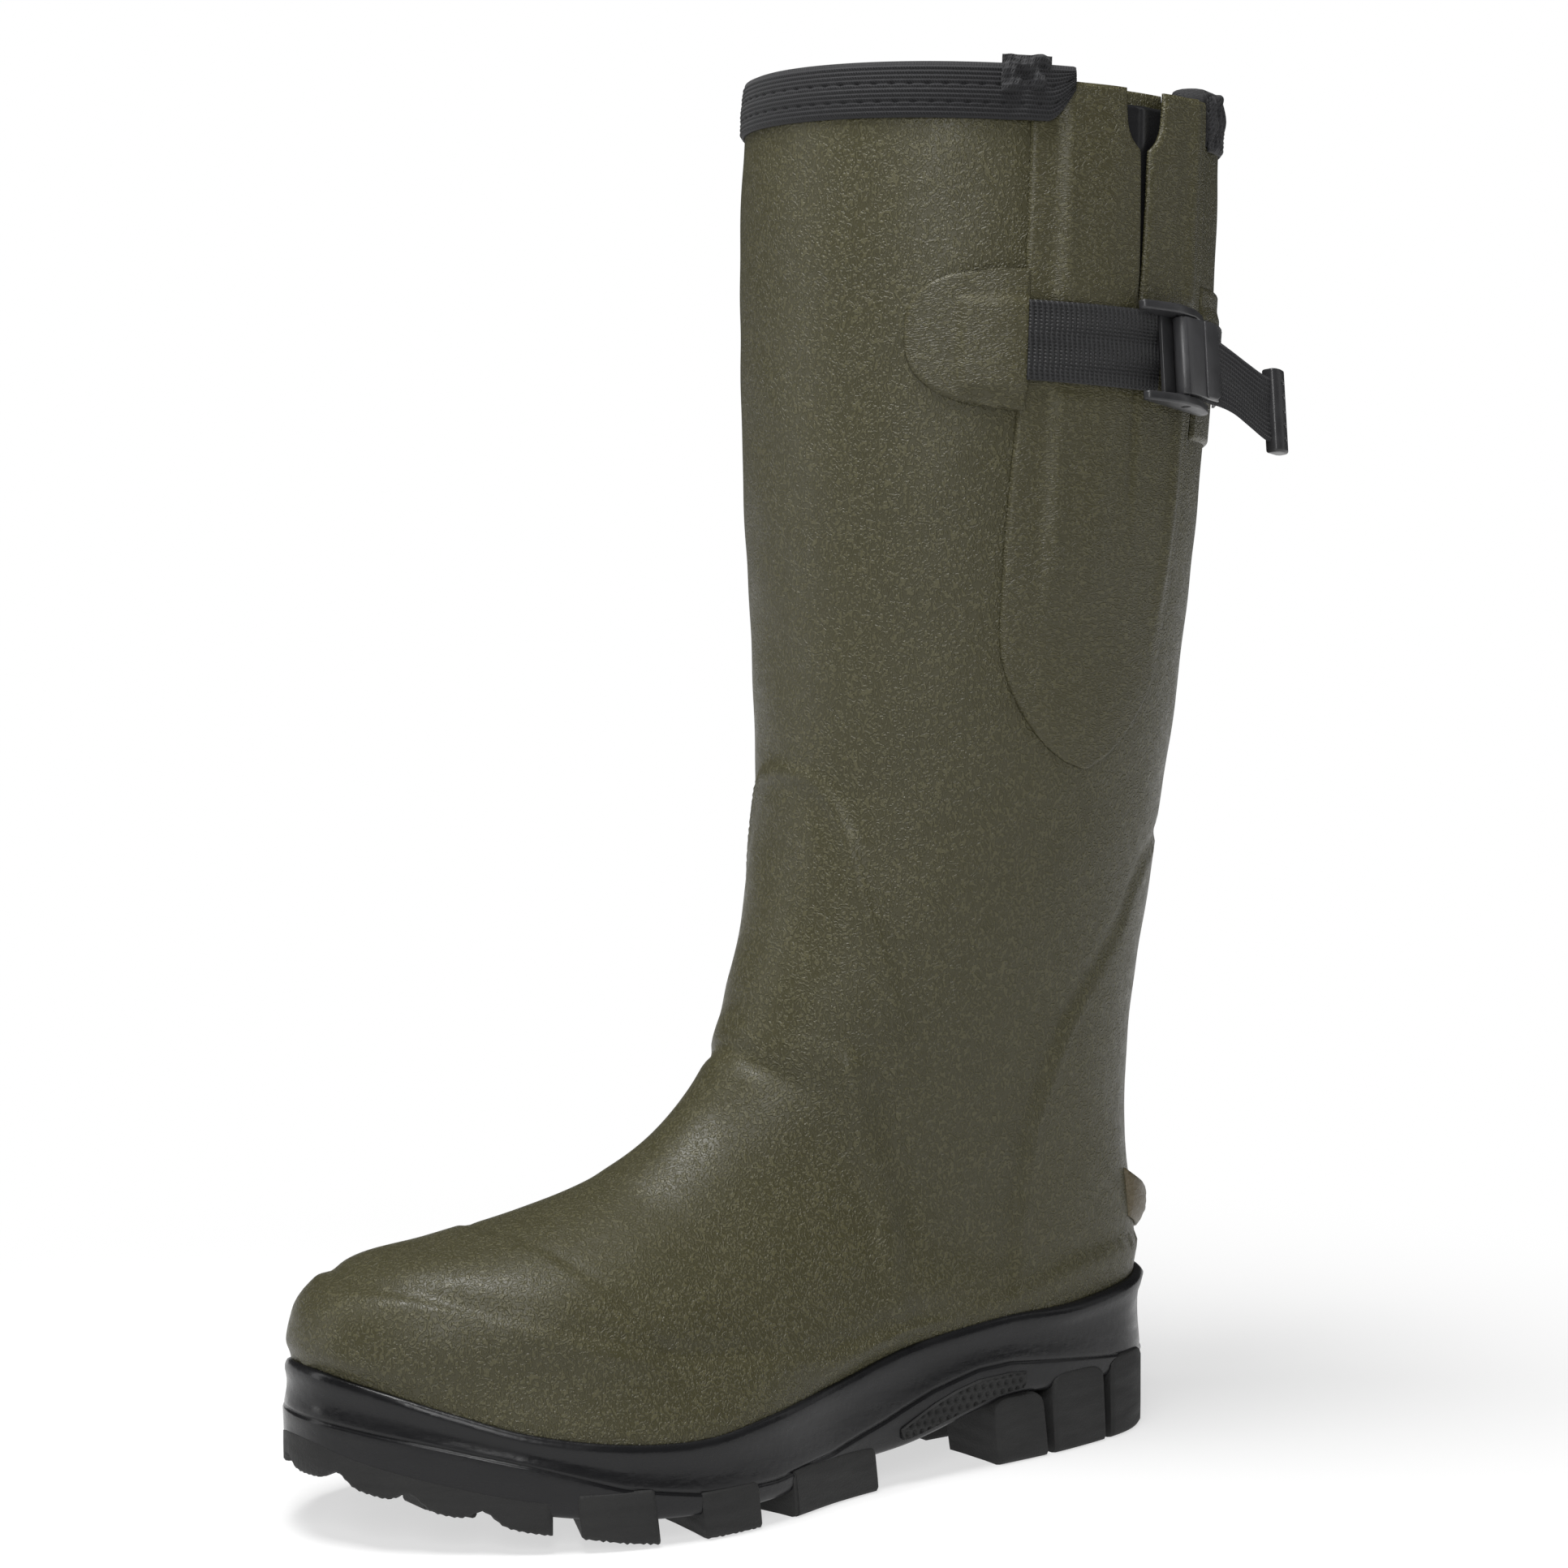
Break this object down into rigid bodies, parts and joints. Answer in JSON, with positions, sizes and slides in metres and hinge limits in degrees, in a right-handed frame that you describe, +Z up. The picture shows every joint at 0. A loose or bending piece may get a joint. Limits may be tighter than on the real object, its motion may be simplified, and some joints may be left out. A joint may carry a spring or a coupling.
{
  "type": "insulated hunting boot",
  "caption": "Tall left rubber boot with neoprene lining, calf gusset with buckled webbing strap, moulded toe cap and heel, and a lugged two-part tread.",
  "frame": {"origin": "on the ground, under the middle of the boot's bounding box", "axes": "+Z up the shaft, toe towards -Y, heel towards +Y, lateral side with the gusset and strap towards +X"},
  "size_m": [0.1478, 0.3201, 0.4302],
  "materials": {
    "upper_rubber": "satin, fine leather-like grain",
    "patch_rubber": "satin, short horizontal grain",
    "sole_rubber": "semi-gloss moulded",
    "tread_rubber": "matte, fine grained",
    "spur_rubber": "matte",
    "lining": "brushed jersey on neoprene",
    "footbed_felt": "felted",
    "elastic": "ribbed elastic",
    "webbing": "ribbed woven webbing",
    "buckle_plastic": "satin moulded acetal",
    "steel": "plain",
    "foam": "closed-cell foam",
    "board": "stiffened fibre board"
  },
  "bodies": {
    "boot": {"sole_unit": "sole_rubber", "forefoot_lugs": "tread_rubber", "heel_lugs": "tread_rubber", "steel_shank": "steel", "heel_core": "foam", "insole_board": "board", "footbed": "footbed_felt", "lining_sock": "lining", "rubber_upper": "upper_rubber", "toe_puff": "board", "heel_counter": "board", "toe_cap": "upper_rubber", "front_panel": "upper_rubber", "heel_panel": "upper_rubber", "foxing": "upper_rubber", "kick_spur": "spur_rubber", "gusset_front_flap": "patch_rubber", "gusset_rear_flap": "patch_rubber", "gusset_bellows": "sole_rubber", "top_binding": "elastic", "binding_front_end": "elastic", "binding_rear_end": "elastic", "front_anchor_patch": "patch_rubber", "rear_anchor_patch": "patch_rubber", "front_webbing": "webbing", "rear_webbing": "webbing", "buckle_frame": "buckle_plastic", "buckle_pin": "steel"},
    "lever": {"buckle_lever": "buckle_plastic"},
    "tail": {"strap_tail": "webbing", "strap_end_clip": "buckle_plastic"}
  },
  "joints": [
    {"name": "buckle_lever_hinge", "type": "hinge", "parent": "boot", "child": "lever", "pos_m": [0.06865, 0.09784, 0.34169], "axis": [0.169, -0.0732, -0.9829], "range_deg": [0, 95]},
    {"name": "strap_adjust", "type": "slide", "parent": "boot", "child": "tail", "axis": [-0.2906, 0.9492, -0.1207], "range_m": [0, 0.018]}
  ]
}
